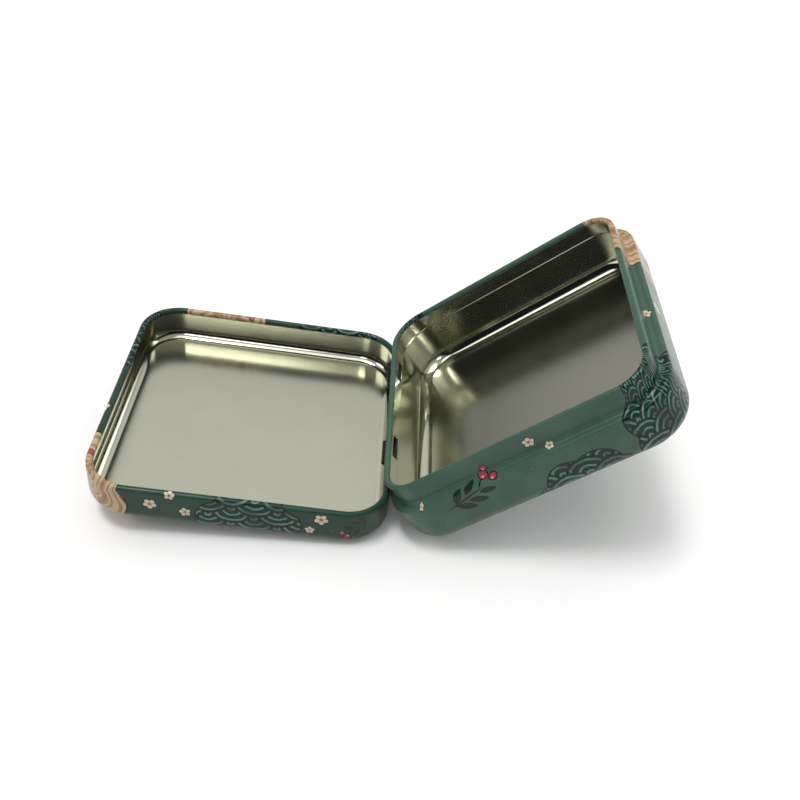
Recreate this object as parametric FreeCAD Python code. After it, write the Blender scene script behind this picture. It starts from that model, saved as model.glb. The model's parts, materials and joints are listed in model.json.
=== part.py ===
import FreeCAD, Part

import math
import os

from FreeCAD import Vector

# Square hinged tin box, standing open. All lengths are in millimetres.
#
# Two drawn trays of tinplate make the box: a shallow lid and a deeper base. Every rim is
# curled inwards. The base has a necked-in band below its rim, which the lid's skirt slides
# over, and two tongues punched out of that band hook round the lid's rear curl. The curl is
# the hinge pin.
#
# Both trays are first built closed, with the lid upside down on its panel and the base
# upside down over it. The hinge side is at x = 0, the front at x = -tin_depth. The base is
# then swung open to its stop, and the open tin is set down on the rear edges of both trays.

# ---- Driving dimensions ---------------------------------------------------------------

tin_depth = 62.0            # front to hinge side, over the walls
tin_width = 62.0            # along the hinge, over the walls
corner_radius = 9.3         # plan corners, outside
sheet = 0.25                # thickness of the tinplate

lid_height = 8.9
lid_edge_radius = 2.6       # panel to skirt, outside
lid_curl_radius = 0.75

base_height = 16.3
base_edge_radius = 3.5      # bottom to wall, outside
base_curl_radius = 0.65
neck_height = 5.2           # rim of the base to its shoulder
neck_root_radius = 0.9
shoulder_radius = 0.8

curl_turn = 290.0           # degrees that each rim is rolled through

neck_clearance = 0.5        # neck to the lid's curl, all round
seat_gap = 0.2              # shoulder to the lid's rim, closed
stop_gap = 0.1              # shoulder to the lid's rear wall, fully open

hinge_inset = 0.45          # hinge axis in from the rear face
hinge_drop = 0.6            # hinge axis down from the lid's rim
hinge_margin_near = 7.4     # straight wall from the -Y corner to its tongue
hinge_margin_far = 3.6      # the same from the +Y corner
tongue_width = 6.4
tongue_bend_radius = 0.25   # inside of each bend
tongue_tip_radius = 0.8
tongue_clearance = 0.25     # tongue to the curl that turns inside it
slot_play = 0.3             # at each end of a slot
slot_clearance = 0.2        # slot edge to the tongue that swings past it

# ---- Sizes that follow ------------------------------------------------------------------

neck_inset = 2 * lid_curl_radius + neck_clearance
seat_z = lid_height + seat_gap
closed_height = seat_z + base_height - neck_height
axis = Vector(-hinge_inset, 0, lid_height - hinge_drop)

# The curl's centre rides this far off the hinge axis, so the tongue passes outside it.
curl_offset = math.hypot(lid_curl_radius - hinge_inset, lid_curl_radius - hinge_drop)
tongue_reach = curl_offset + lid_curl_radius + tongue_clearance + sheet
tongue_bend_outside = tongue_bend_radius + sheet
tongue_swing = (tongue_reach - tongue_bend_outside) * math.sqrt(2) + tongue_bend_outside

straight_half = tin_width / 2 - corner_radius
tongue_centres = (hinge_margin_near + tongue_width / 2 - straight_half,
                  straight_half - hinge_margin_far - tongue_width / 2)


def opening_angle():
    """Degrees the base swings before its shoulder reaches the lid's rear wall."""
    across = hinge_inset - shoulder_radius
    up = hinge_drop + seat_gap + shoulder_radius
    contact = hinge_inset + stop_gap + shoulder_radius
    return math.degrees(math.atan2(up, across) + math.acos(contact / math.hypot(across, up)))


# ---- Bent sheet -------------------------------------------------------------------------

def unit(start, end):
    """Direction from one point of an outline to the next."""
    length = math.hypot(end[0] - start[0], end[1] - start[1])
    return (end[0] - start[0]) / length, (end[1] - start[1]) / length


def on_circle(centre, radius, degrees):
    """Point of a circle in the plane of an outline."""
    angle = math.radians(degrees)
    return centre[0] + radius * math.cos(angle), centre[1] + radius * math.sin(angle)


def upright(point):
    """Outline point (across, up) as a point of the x-z plane."""
    return Vector(point[0], 0, point[1])


def line(start, end):
    return Part.LineSegment(upright(start), upright(end)).toShape()


def arc(start, middle, end):
    return Part.Arc(upright(start), upright(middle), upright(end)).toShape()


def left_side(points):
    """The outline moved one sheet thickness to its left."""
    headings = [unit(a, b) for a, b in zip(points, points[1:])]
    moved = []
    for index, point in enumerate(points):
        before = headings[max(index - 1, 0)]
        after = headings[min(index, len(headings) - 1)]
        share = sheet / (1 + before[0] * after[0] + before[1] * after[1])
        moved.append((point[0] - share * (before[1] + after[1]),
                      point[1] + share * (before[0] + after[0])))
    return moved


def turns_left(before, point, after):
    a, b = unit(before, point), unit(point, after)
    return a[0] * b[1] - a[1] * b[0] > 0


def rounded(points, radii):
    """Edges along an outline, with a tangent arc at each inner corner."""
    edges = []
    start = points[0]
    for before, corner, after, radius in zip(points, points[1:], points[2:], radii):
        back, ahead = unit(corner, before), unit(corner, after)
        half = math.acos(back[0] * ahead[0] + back[1] * ahead[1]) / 2
        inward = unit((0, 0), (back[0] + ahead[0], back[1] + ahead[1]))
        reach = radius / math.tan(half)
        depth = radius / math.sin(half) - radius
        enter = (corner[0] + reach * back[0], corner[1] + reach * back[1])
        middle = (corner[0] + depth * inward[0], corner[1] + depth * inward[1])
        leave = (corner[0] + reach * ahead[0], corner[1] + reach * ahead[1])
        edges += [line(start, enter), arc(enter, middle, leave)]
        start = leave
    return edges + [line(start, points[-1])]


def bent_sheet(points, radii, curl_radius=None):
    """Section of a bent sheet. The outline is its outer face, and the metal lies to its left.

    radii are those of the outer face, one for each inner corner. A curl_radius rolls the
    end of the sheet over to the left.
    """
    corners = zip(points, points[1:], points[2:], radii)
    inner_radii = [r - sheet if turns_left(a, b, c) else r + sheet for a, b, c, r in corners]
    inner_points = left_side(points)
    outer = rounded(points, radii)
    inner = rounded(inner_points, inner_radii)
    outer_end, inner_end = points[-1], inner_points[-1]
    if curl_radius:
        centre = (points[-1][0] - curl_radius, points[-1][1])
        for edges, end, radius in ((outer, outer_end, curl_radius),
                                   (inner, inner_end, curl_radius - sheet)):
            edges.append(arc(end, on_circle(centre, radius, curl_turn / 2),
                             on_circle(centre, radius, curl_turn)))
        outer_end = on_circle(centre, curl_radius, curl_turn)
        inner_end = on_circle(centre, curl_radius - sheet, curl_turn)
    caps = [line(outer_end, inner_end), line(inner_points[0], points[0])]
    return Part.Face(Part.Wire(Part.__sortEdges__(outer + inner + caps)))


def tray(section):
    """Carry a wall section round the rounded square, and close its bottom.

    The section's outer face is at x = 0, and it reaches in to the centre of the corners.
    The finished tray stands on z = 0 with its rear face at x = 0.
    """
    runs = (tin_width - 2 * corner_radius, tin_depth - 2 * corner_radius)
    reaches = (tin_depth / 2, tin_width / 2)
    up = Vector(0, 0, 1)
    pieces = []
    for quarter in range(4):
        run, reach = runs[quarter % 2], reaches[quarter % 2]
        wall = section.translated(Vector(reach, -run / 2, 0)).extrude(Vector(0, run, 0))
        corner_axis = Vector(reach - corner_radius, run / 2, 0)
        corner = section.translated(Vector(reach, run / 2, 0)).revolve(corner_axis, up, 90)
        for piece in (wall, corner):
            piece.rotate(Vector(0, 0, 0), up, 90 * quarter)
            pieces.append(piece)
    panel = Part.makeBox(runs[1], runs[0], sheet, Vector(-runs[1] / 2, -runs[0] / 2, 0))
    whole = panel.multiFuse(pieces).removeSplitter()
    return whole.translated(Vector(-tin_depth / 2, 0, 0))


# ---- Hinge ------------------------------------------------------------------------------

def block(low, high, centre_y, width):
    """Box between two x-z corners, centred on centre_y."""
    corner = Vector(low[0], centre_y - width / 2, low[1])
    return Part.makeBox(high[0] - low[0], width, high[1] - low[1], corner)


def lid_slot(centre_y):
    """Cutter for a slot in the lid's rear skirt, just under the curl."""
    top = lid_height - 2 * lid_curl_radius - slot_clearance / 2
    bottom = axis.z - tongue_swing - slot_clearance
    return block((-1.5 * sheet, bottom), (sheet, top), centre_y, tongue_width + 2 * slot_play)


def neck_window(centre_y):
    """Cutter for the window that a tongue leaves in the neck, up to the neck's root."""
    bottom = axis.z - tongue_reach - tongue_bend_radius
    top = seat_z - neck_root_radius
    low = (-neck_inset - 1.5 * sheet, bottom)
    return block(low, (-neck_inset + sheet / 2, top), centre_y, tongue_width)


def tongue(centre_y):
    """A tongue bent out of the neck, under the lid's curl and up behind it."""
    root = axis.z - tongue_reach - tongue_bend_radius
    floor = axis.z - tongue_reach
    back = axis.x + tongue_reach
    points = [(-neck_inset, root - sheet), (-neck_inset, floor), (back, floor), (back, axis.z)]
    section = bent_sheet(points, [tongue_bend_radius, tongue_bend_outside])
    start = Vector(0, centre_y - tongue_width / 2, 0)
    strip = section.translated(start).extrude(Vector(0, tongue_width, 0))
    tip_edges = [edge for edge in strip.Edges if is_tip_corner(edge, centre_y)]
    return strip.makeFillet(tongue_tip_radius, tip_edges)


def is_tip_corner(edge, centre_y):
    """True for the two short edges at the corners of a tongue's tip."""
    box = edge.BoundBox
    at_tip = abs(box.ZMin - axis.z) < 1e-6 and abs(box.ZMax - axis.z) < 1e-6
    at_side = abs(abs(box.Center.y - centre_y) - tongue_width / 2) < 1e-6
    return at_tip and at_side and box.YLength < 1e-6


# ---- The two trays, closed ----------------------------------------------------------------

def make_lid():
    outline = [(-corner_radius, 0), (0, 0), (0, lid_height - lid_curl_radius)]
    lid = tray(bent_sheet(outline, [lid_edge_radius], lid_curl_radius))
    return lid.cut([lid_slot(y) for y in tongue_centres])


def make_base():
    shoulder_z = base_height - neck_height
    outline = [(-corner_radius, 0), (0, 0), (0, shoulder_z), (-neck_inset, shoulder_z),
               (-neck_inset, base_height - base_curl_radius)]
    radii = [base_edge_radius, shoulder_radius, neck_root_radius]
    base = tray(bent_sheet(outline, radii, base_curl_radius))
    base.rotate(Vector(0, 0, 0), Vector(1, 0, 0), 180)
    base.translate(Vector(0, 0, closed_height))
    windowed = base.cut([neck_window(y) for y in tongue_centres])
    return windowed.multiFuse([tongue(y) for y in tongue_centres]).removeSplitter()


# ---- Open, and set down -------------------------------------------------------------------

def resting_tilt(angle):
    """Degrees from the lid's panel to the line under the rear edges of both trays."""
    lid_edge = Vector(-lid_edge_radius, 0, lid_edge_radius)
    base_edge = Part.Vertex(-base_edge_radius, 0, closed_height - base_edge_radius)
    base_edge.rotate(axis, Vector(0, 1, 0), angle)
    span = base_edge.Point - lid_edge
    rise = math.atan2(span.z, span.x)
    return math.degrees(rise - math.asin((base_edge_radius - lid_edge_radius) / span.Length))


def main():
    angle = opening_angle()
    tilt = resting_tilt(angle)
    lid = make_lid()
    base = make_base()
    base.rotate(axis, Vector(0, 1, 0), angle)

    hinge = Part.Vertex(axis)
    everything = Part.Compound([lid, base, hinge])
    everything.rotate(Vector(0, 0, 0), Vector(0, 1, 0), tilt)
    box = everything.optimalBoundingBox(False, False)
    everything.translate(Vector(-box.Center.x, -box.Center.y, -box.ZMin))

    os.makedirs("parts", exist_ok=True)
    shapes = everything.SubShapes
    for name, shape in zip(("lid", "base"), shapes):
        solid = shape.Solids[0]
        solid.exportStep("parts/" + name + ".step")
        print(name, "solids", len(shape.Solids), "valid", solid.isValid(),
              "volume %.2f" % solid.Volume, "centre", solid.CenterOfMass)
    print("opening angle %.3f, tilt %.3f" % (angle, tilt))
    print("hinge axis", shapes[2].Point)
    print("size %.3f x %.3f x %.3f" % (box.XLength, box.YLength, box.ZLength))


main()
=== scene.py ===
import json
import logging
import math
from collections.abc import Callable, Iterable
from dataclasses import dataclass, field
from enum import Enum

import bmesh
import bpy
from mathutils import Matrix, Vector

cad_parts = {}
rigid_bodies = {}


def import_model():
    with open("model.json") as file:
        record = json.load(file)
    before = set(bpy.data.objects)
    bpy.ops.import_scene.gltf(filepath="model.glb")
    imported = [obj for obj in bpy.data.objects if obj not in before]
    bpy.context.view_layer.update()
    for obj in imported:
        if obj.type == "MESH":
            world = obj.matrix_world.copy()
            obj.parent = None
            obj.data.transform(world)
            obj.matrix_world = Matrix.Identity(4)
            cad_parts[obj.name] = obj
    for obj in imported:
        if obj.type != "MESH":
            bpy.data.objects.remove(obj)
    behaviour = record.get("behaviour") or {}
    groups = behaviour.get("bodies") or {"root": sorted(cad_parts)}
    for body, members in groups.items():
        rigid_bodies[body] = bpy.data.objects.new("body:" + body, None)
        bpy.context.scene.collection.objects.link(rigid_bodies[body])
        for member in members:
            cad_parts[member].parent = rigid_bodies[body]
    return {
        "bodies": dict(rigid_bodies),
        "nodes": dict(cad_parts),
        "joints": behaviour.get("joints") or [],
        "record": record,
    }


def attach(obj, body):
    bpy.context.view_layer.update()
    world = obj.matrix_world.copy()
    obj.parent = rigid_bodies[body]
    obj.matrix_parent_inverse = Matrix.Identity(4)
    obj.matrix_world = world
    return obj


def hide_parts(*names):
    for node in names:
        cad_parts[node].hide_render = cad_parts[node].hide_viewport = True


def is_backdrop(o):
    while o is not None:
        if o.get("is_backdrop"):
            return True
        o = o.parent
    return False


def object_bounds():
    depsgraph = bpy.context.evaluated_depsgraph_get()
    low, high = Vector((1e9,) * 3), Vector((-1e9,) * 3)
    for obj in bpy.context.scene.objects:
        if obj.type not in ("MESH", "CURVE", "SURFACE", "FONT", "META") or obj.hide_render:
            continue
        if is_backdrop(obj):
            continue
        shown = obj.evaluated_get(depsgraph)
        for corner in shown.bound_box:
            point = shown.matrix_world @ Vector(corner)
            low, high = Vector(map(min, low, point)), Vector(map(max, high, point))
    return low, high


# A square hinged tin box, standing open: two drawn trays of printed tinplate.
# Sizes are in millimetres. Meshes are made in millimetres and scaled to metres as they
# are put in place.

LOG = logging.getLogger("tin_box")
MM = 0.001
FLAT_MAP = "FlatSheet"
BUMP_DISTANCE = 0.00005
SHARP_ANGLE = math.radians(35)
ARC_STEP = math.radians(10)
LEAST_ARC_STEPS = 4
SAME_PLACE = 1e-6  # mm between two places that count as one
EDGE_SLACK = 1e-4  # mm of slack where a wall's plane or an opening's edge is looked up
MERGE_DISTANCE = 0.002  # mm between corners that are joined
END_SHARE = 0.001  # share of a stretch, at each end, where a level adds no station

Colour = tuple[float, float, float]


class Face(Enum):
    """The three finishes that one sheet of tinplate shows, by material slot."""

    PRINT = 0
    BARE = 1
    CUT = 2


# ---- Bent sheet --------------------------------------------------------------------------


@dataclass(frozen=True)
class Station:
    """One point of a sheet's outer face, as seen in section."""

    across: float
    up: float
    inward: Vector
    run: float


class Section:
    """The outer face of a bent sheet, traced as straight stretches and tangent arcs."""

    def __init__(self) -> None:
        """Start an empty section."""
        self.stations: list[Station] = []

    def add(self, point: Vector, heading: float) -> None:
        """Add one station.

        Args:
            point: Place of the station, across and up.
            heading: Direction of travel there, in radians. The metal lies to its left.
        """
        run = 0.0
        if self.stations:
            last = self.stations[-1]
            step = (point - Vector((last.across, last.up))).length
            if step < SAME_PLACE:
                return
            run = last.run + step
        inward = Vector((-math.sin(heading), math.cos(heading)))
        self.stations.append(Station(point.x, point.y, inward, run))

    def straight(self, start: Vector, end: Vector, levels: tuple[float, ...]) -> None:
        """Add a straight stretch, with extra stations where a slot's edge crosses it.

        Args:
            start: Where the stretch begins.
            end: Where it ends.
            levels: Heights of slot edges.
        """
        way = end - start
        heading = math.atan2(way.y, way.x)
        shares = {0.0, 1.0}
        if abs(way.y) > SAME_PLACE:
            found = [(level - start.y) / way.y for level in levels]
            shares |= {share for share in found if END_SHARE < share < 1 - END_SHARE}
        for share in sorted(shares):
            self.add(start + way * share, heading)

    def arc(self, centre: Vector, radius: float, heading: float, turn: float) -> None:
        """Add an arc.

        Args:
            centre: Middle of the arc.
            radius: Its radius.
            heading: Direction of travel where it starts, in radians.
            turn: How far it turns, in radians, positive to the left.
        """
        side = math.copysign(1.0, turn)
        steps = max(LEAST_ARC_STEPS, math.ceil(abs(turn) / ARC_STEP))
        for index in range(steps + 1):
            now = heading + turn * index / steps
            spoke = Vector((math.sin(now), -math.cos(now))) * side * radius
            self.add(centre + spoke, now)

    def trace(self, points: list[Vector], radii: list[float], levels: tuple[float, ...]) -> None:
        """Trace an outline whose inner corners are rounded.

        Args:
            points: Corners of the outline, in order.
            radii: Radius of each inner corner.
            levels: Heights of slot edges that cross its upright stretches.
        """
        start = points[0]
        for before, corner, after, radius in zip(points, points[1:], points[2:], radii):
            ahead, onward = (corner - before).normalized(), (after - corner).normalized()
            heading = math.atan2(ahead.y, ahead.x)
            turn = math.atan2(ahead.x * onward.y - ahead.y * onward.x, ahead.dot(onward))
            reach = radius * math.tan(abs(turn) / 2)
            enter = corner - ahead * reach
            self.straight(start, enter, levels)
            left = Vector((-ahead.y, ahead.x)) * math.copysign(radius, turn)
            self.arc(enter + left, radius, heading, turn)
            start = corner + onward * reach
        self.straight(start, points[-1], levels)


@dataclass(frozen=True)
class PlanStation:
    """One place on the way round a tray: a point of its inner rectangle and a way out."""

    base: Vector
    out: Vector
    side: int | None


@dataclass(frozen=True)
class Opening:
    """A rectangular hole through a tray's rear wall."""

    low_y: float
    high_y: float
    low_z: float
    high_z: float
    wall_across: float


Corner = tuple[Vector, Vector]
AddFace = Callable[[list[Corner], Face], None]
FindCorner = Callable[[PlanStation, Station, int], Corner]


@dataclass
class TrayMesh:
    """A square tray of constant sheet with a wall section carried all round it.

    The tray is centred on its own axis, stands on z = 0 and has its rear side at +X.
    """

    depth: float
    width: float
    corner_radius: float
    sheet: float
    section: Section
    openings: list[Opening] = field(default_factory=list)
    corner_steps: int = 18
    side_step: float = 3.2

    def side_places(self, half: float, edges: list[float]) -> list[float]:
        """Places along one straight side.

        Args:
            half: Half of the side's straight length.
            edges: Places that have to be among them.

        Returns:
            The places in rising order, from -half to half.
        """
        marks = sorted({-half, half, *edges})
        places: list[float] = []
        for low, high in zip(marks, marks[1:]):
            steps = max(1, round((high - low) / self.side_step))
            places += [low + (high - low) * index / steps for index in range(steps)]
        return places + [half]

    def plan(self) -> list[PlanStation]:
        """Find the stations on the way round the tray, anticlockwise from the rear side.

        Returns:
            The stations, each side's and then its corner's.
        """
        half_x = self.depth / 2 - self.corner_radius
        half_y = self.width / 2 - self.corner_radius
        along_y = self.side_places(half_y, self.opening_edges())
        along_x = self.side_places(half_x, [])
        sides = (
            [Vector((half_x, y)) for y in along_y],
            [Vector((x, half_y)) for x in reversed(along_x)],
            [Vector((-half_x, y)) for y in reversed(along_y)],
            [Vector((x, -half_y)) for x in along_x],
        )
        stations: list[PlanStation] = []
        for side, bases in enumerate(sides):
            start = side * math.pi / 2
            out = Vector((math.cos(start), math.sin(start)))
            stations += [PlanStation(base, out, side) for base in bases]
            for index in range(1, self.corner_steps):
                angle = start + math.pi / 2 * index / self.corner_steps
                turned = Vector((math.cos(angle), math.sin(angle)))
                stations.append(PlanStation(bases[-1], turned, None))
        return stations

    def opening_edges(self) -> list[float]:
        """The y of both ends of every opening."""
        return [y for opening in self.openings for y in (opening.low_y, opening.high_y)]

    def is_open(self, first: PlanStation, second: PlanStation, low: Station, high: Station) -> bool:
        """Whether an opening takes away the wall between four neighbouring stations.

        Args:
            first: One place on the way round.
            second: The next place.
            low: One station of the section.
            high: The next station.

        Returns:
            True where the wall is left out.
        """
        if first.side != 0 or second.side != 0 or abs(low.across - high.across) > SAME_PLACE:
            return False
        y = (first.base.y + second.base.y) / 2
        z = (low.up + high.up) / 2
        for hole in self.openings:
            on_wall = abs(low.across - hole.wall_across) < EDGE_SLACK
            if on_wall and hole.low_y < y < hole.high_y and hole.low_z < z < hole.high_z:
                return True
        return False

    def place(self, plan: PlanStation, station: Station, layer: float) -> Vector:
        """A point of the sheet.

        Args:
            plan: Where on the way round.
            station: Where on the wall's section.
            layer: 0 on the outer face, 1 on the inner face.

        Returns:
            The point in the tray's own frame.
        """
        across = station.across + station.inward.x * self.sheet * layer + self.corner_radius
        flat = plan.base + plan.out * across
        return Vector((flat.x, flat.y, station.up + station.inward.y * self.sheet * layer))

    def build(self, mesh: bmesh.types.BMesh) -> None:
        """Add the tray's faces to a mesh.

        Args:
            mesh: The mesh, which has a UV layer with the sheet's own flat coordinates.
        """
        flat_map = mesh.loops.layers.uv.verify()
        plans = self.plan()
        stations = self.section.stations

        def add(corners: list[Corner], kind: Face) -> None:
            """Add one face, unless its corners fall together.

            Args:
                corners: Its corners, each a point and its place on the flat sheet.
                kind: Its finish.
            """
            if len({tuple(round(v, 5) for v in point) for point, _ in corners}) < 3:
                return
            face = mesh.faces.new([mesh.verts.new(point) for point, _ in corners])
            face.material_index = kind.value
            for loop, (_, flat) in zip(face.loops, corners):
                loop[flat_map].uv = flat

        def corner(plan: PlanStation, station: Station, layer: int) -> Corner:
            """A point of the sheet with its place on the flat sheet."""
            return self.place(plan, station, layer), plan.base + plan.out * station.run

        for first, second in zip(plans, plans[1:] + plans[:1]):
            for low, high in zip(stations, stations[1:]):
                if self.is_open(first, second, low, high):
                    continue
                ring = [(first, low), (first, high), (second, high), (second, low)]
                add([corner(p, s, 0) for p, s in reversed(ring)], Face.PRINT)
                add([corner(p, s, 1) for p, s in ring], Face.BARE)
            ring = [(first, 0), (second, 0), (second, 1), (first, 1)]
            add([corner(p, stations[-1], layer) for p, layer in ring], Face.CUT)
        self.panel(add)
        for hole in self.openings:
            self.opening_walls(hole, plans, corner, add)

    def panel(self, add: AddFace) -> None:
        """Close the tray's flat middle on both faces.

        Args:
            add: Adds one face from its corners and its finish.
        """
        half_x = self.depth / 2 - self.corner_radius
        half_y = self.width / 2 - self.corner_radius
        xs = self.side_places(half_x, [])
        ys = self.side_places(half_y, self.opening_edges())
        for left, right in zip(xs, xs[1:]):
            for near, far in zip(ys, ys[1:]):
                ring = [(left, near), (right, near), (right, far), (left, far)]
                for layer, kind in ((0, Face.PRINT), (1, Face.BARE)):
                    corners = [(Vector((x, y, layer * self.sheet)), Vector((x, y))) for x, y in ring]
                    add(corners, kind)

    def opening_walls(self, hole: Opening, plans: list[PlanStation], corner: FindCorner,
                      add: AddFace) -> None:
        """Line the cut edge of one opening.

        Args:
            hole: The opening.
            plans: The stations on the way round the tray.
            corner: Gives a point of the sheet with its flat place.
            add: Adds one face from its corners and its finish.
        """
        inside = [p for p in plans if p.side == 0
                  and hole.low_y - EDGE_SLACK < p.base.y < hole.high_y + EDGE_SLACK]
        wall = [s for s in self.section.stations
                if abs(s.across - hole.wall_across) < EDGE_SLACK
                and hole.low_z - EDGE_SLACK < s.up < hole.high_z + EDGE_SLACK]
        edges = [(end, a, end, b) for end in (inside[0], inside[-1]) for a, b in zip(wall, wall[1:])]
        for a, b in zip(inside, inside[1:]):
            edges += [(a, wall[0], b, wall[0]), (a, wall[-1], b, wall[-1])]
        for p, s, q, t in edges:
            add([corner(p, s, 0), corner(q, t, 0), corner(q, t, 1), corner(p, s, 1)], Face.CUT)


# ---- The tin -----------------------------------------------------------------------------


@dataclass(frozen=True)
class TinSizes:
    """Sizes that both trays share, and the place of the hinge between them."""

    depth: float = 62.0
    width: float = 62.0
    corner_radius: float = 9.3
    sheet: float = 0.25
    curl_turn: float = math.radians(290.0)
    lid_height: float = 8.9
    lid_edge_radius: float = 2.6
    lid_curl_radius: float = 0.75
    base_height: float = 16.3
    base_edge_radius: float = 3.5
    base_curl_radius: float = 0.65
    neck_height: float = 5.2
    neck_root_radius: float = 0.9
    shoulder_radius: float = 0.8
    neck_clearance: float = 0.5
    seat_gap: float = 0.2
    hinge_inset: float = 0.45
    hinge_drop: float = 0.6
    hinge_margin_near: float = 7.4
    hinge_margin_far: float = 3.6
    tongue_width: float = 6.4
    tongue_bend_radius: float = 0.25
    tongue_tip_radius: float = 0.8
    tongue_clearance: float = 0.25
    slot_play: float = 0.3
    slot_clearance: float = 0.2

    @property
    def neck_inset(self) -> float:
        """How far the base's neck lies inside its wall."""
        return 2 * self.lid_curl_radius + self.neck_clearance

    @property
    def seat_z(self) -> float:
        """Height of the base's shoulder over the lid's panel, closed."""
        return self.lid_height + self.seat_gap

    @property
    def closed_height(self) -> float:
        """Height of the whole tin, closed."""
        return self.seat_z + self.base_height - self.neck_height

    @property
    def hinge(self) -> Vector:
        """A point of the hinge axis in the closed tin."""
        return Vector((-self.hinge_inset, 0.0, self.lid_height - self.hinge_drop))

    @property
    def tongue_reach(self) -> float:
        """How far a tongue's outside is from the hinge axis.

        Returns:
            The distance, past the curl, the play and the sheet.
        """
        offset = math.hypot(self.lid_curl_radius - self.hinge_inset,
                            self.lid_curl_radius - self.hinge_drop)
        return offset + self.lid_curl_radius + self.tongue_clearance + self.sheet

    @property
    def tongue_swing(self) -> float:
        """Furthest point of a tongue's outer bend, from the hinge axis."""
        outside = self.tongue_bend_radius + self.sheet
        return (self.tongue_reach - outside) * math.sqrt(2) + outside

    @property
    def tongue_centres(self) -> tuple[float, float]:
        """Where the tongues are along the hinge of the closed tin.

        Returns:
            The y of both middles.
        """
        straight = self.width / 2 - self.corner_radius
        half = self.tongue_width / 2
        return (self.hinge_margin_near + half - straight, straight - self.hinge_margin_far - half)

    def tilt(self, opening: float) -> float:
        """How far the lid's panel leans when the open tin stands on both rear edges.

        Args:
            opening: The hinge's opening angle in radians.

        Returns:
            The lean in radians.
        """
        lid_edge = Vector((-self.lid_edge_radius, 0.0, self.lid_edge_radius))
        base_edge = Vector((-self.base_edge_radius, 0.0, self.closed_height - self.base_edge_radius))
        turn = Matrix.Rotation(opening, 3, "Y")
        span = turn @ (base_edge - self.hinge) + self.hinge - lid_edge
        rise = math.atan2(span.z, span.x)
        return rise - math.asin((self.base_edge_radius - self.lid_edge_radius) / span.length)


@dataclass(frozen=True)
class Stance:
    """Where the two trays of the open tin are, from the hinge joint of the frame."""

    sizes: TinSizes
    hinge_place: Vector
    opening: float

    @classmethod
    def from_frame(cls, sizes: TinSizes, frame: dict) -> "Stance":
        """Read the hinge's place and opening angle from the frame's only joint."""
        joint = frame["joints"][0]
        return cls(sizes, Vector(joint["pos_m"]) / MM, math.radians(joint["range_deg"][1]))

    @property
    def tilt(self) -> float:
        """The lean of the lid's panel, in radians."""
        return self.sizes.tilt(self.opening)

    def swung(self, angle: float) -> Matrix:
        """Turn the closed tin about its hinge and set it at the hinge's place.

        Args:
            angle: How far it turns, in radians.

        Returns:
            From the closed tin, in millimetres, to the object, in metres.
        """
        scale = Matrix.Scale(MM, 4)
        turn = Matrix.Rotation(angle, 4, "Y")
        return scale @ Matrix.Translation(self.hinge_place) @ turn @ Matrix.Translation(-self.sizes.hinge)

    def lid(self) -> Matrix:
        """From the lid's own frame to the object's."""
        centre = Matrix.Translation((-self.sizes.depth / 2, 0, 0))
        return self.swung(self.tilt) @ centre

    def base(self) -> Matrix:
        """From the base's own frame, upside down on the closed lid, to the object's."""
        over = Matrix.Translation((-self.sizes.depth / 2, 0, self.sizes.closed_height))
        return self.swung(self.tilt + self.opening) @ over @ Matrix.Rotation(math.pi, 4, "X")


def linked(name: str, data: bpy.types.ID) -> bpy.types.Object:
    """Make an object of a mesh, a camera or a light.

    Args:
        name: Name of the object.
        data: What it shows.

    Returns:
        The object, linked to the scene.
    """
    made = bpy.data.objects.new(name, data)
    bpy.context.scene.collection.objects.link(made)
    return made


def finished_object(name: str, mesh: bmesh.types.BMesh, place: Matrix) -> bpy.types.Object:
    """Turn a mesh in millimetres into a smooth-shaded object in the row's frame.

    Args:
        name: Name of the piece.
        mesh: Its faces. It is freed.
        place: From the mesh's frame to the row's frame.

    Returns:
        The object, linked to the scene.
    """
    bmesh.ops.remove_doubles(mesh, verts=mesh.verts[:], dist=MERGE_DISTANCE)
    bmesh.ops.recalc_face_normals(mesh, faces=mesh.faces[:])
    mesh.transform(place)
    data = bpy.data.meshes.new(name)
    mesh.to_mesh(data)
    mesh.free()
    data.uv_layers[0].name = FLAT_MAP
    data.shade_smooth()
    data.set_sharp_from_angle(angle=SHARP_ANGLE)
    return linked(name, data)


@dataclass
class Tray:
    """What both halves of the tin share: a drawn tray with openings in its rear wall."""

    sizes: TinSizes
    name: str

    def section(self, levels: tuple[float, ...]) -> Section:
        """The wall in section. Each half has its own."""
        raise NotImplementedError

    def openings(self) -> list[Opening]:
        """The openings in the rear wall. Each half has its own."""
        raise NotImplementedError

    def add_fittings(self, mesh: bmesh.types.BMesh) -> None:
        """Add what is bent out of the sheet, which is nothing on a plain tray."""

    def build(self, place: Matrix, finishes: Iterable[bpy.types.Material]) -> bpy.types.Object:
        """Build the tray and dress it.

        Args:
            place: From the tray's own frame to the object's.
            finishes: Its materials, in the order of the Face slots.

        Returns:
            The tray's object.
        """
        s = self.sizes
        openings = self.openings()
        section = self.section((openings[0].low_z, openings[0].high_z))
        mesh = bmesh.new()
        TrayMesh(s.depth, s.width, s.corner_radius, s.sheet, section, openings).build(mesh)
        self.add_fittings(mesh)
        piece = finished_object(self.name, mesh, place)
        for finish in finishes:
            piece.data.materials.append(finish)
        return piece


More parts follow.
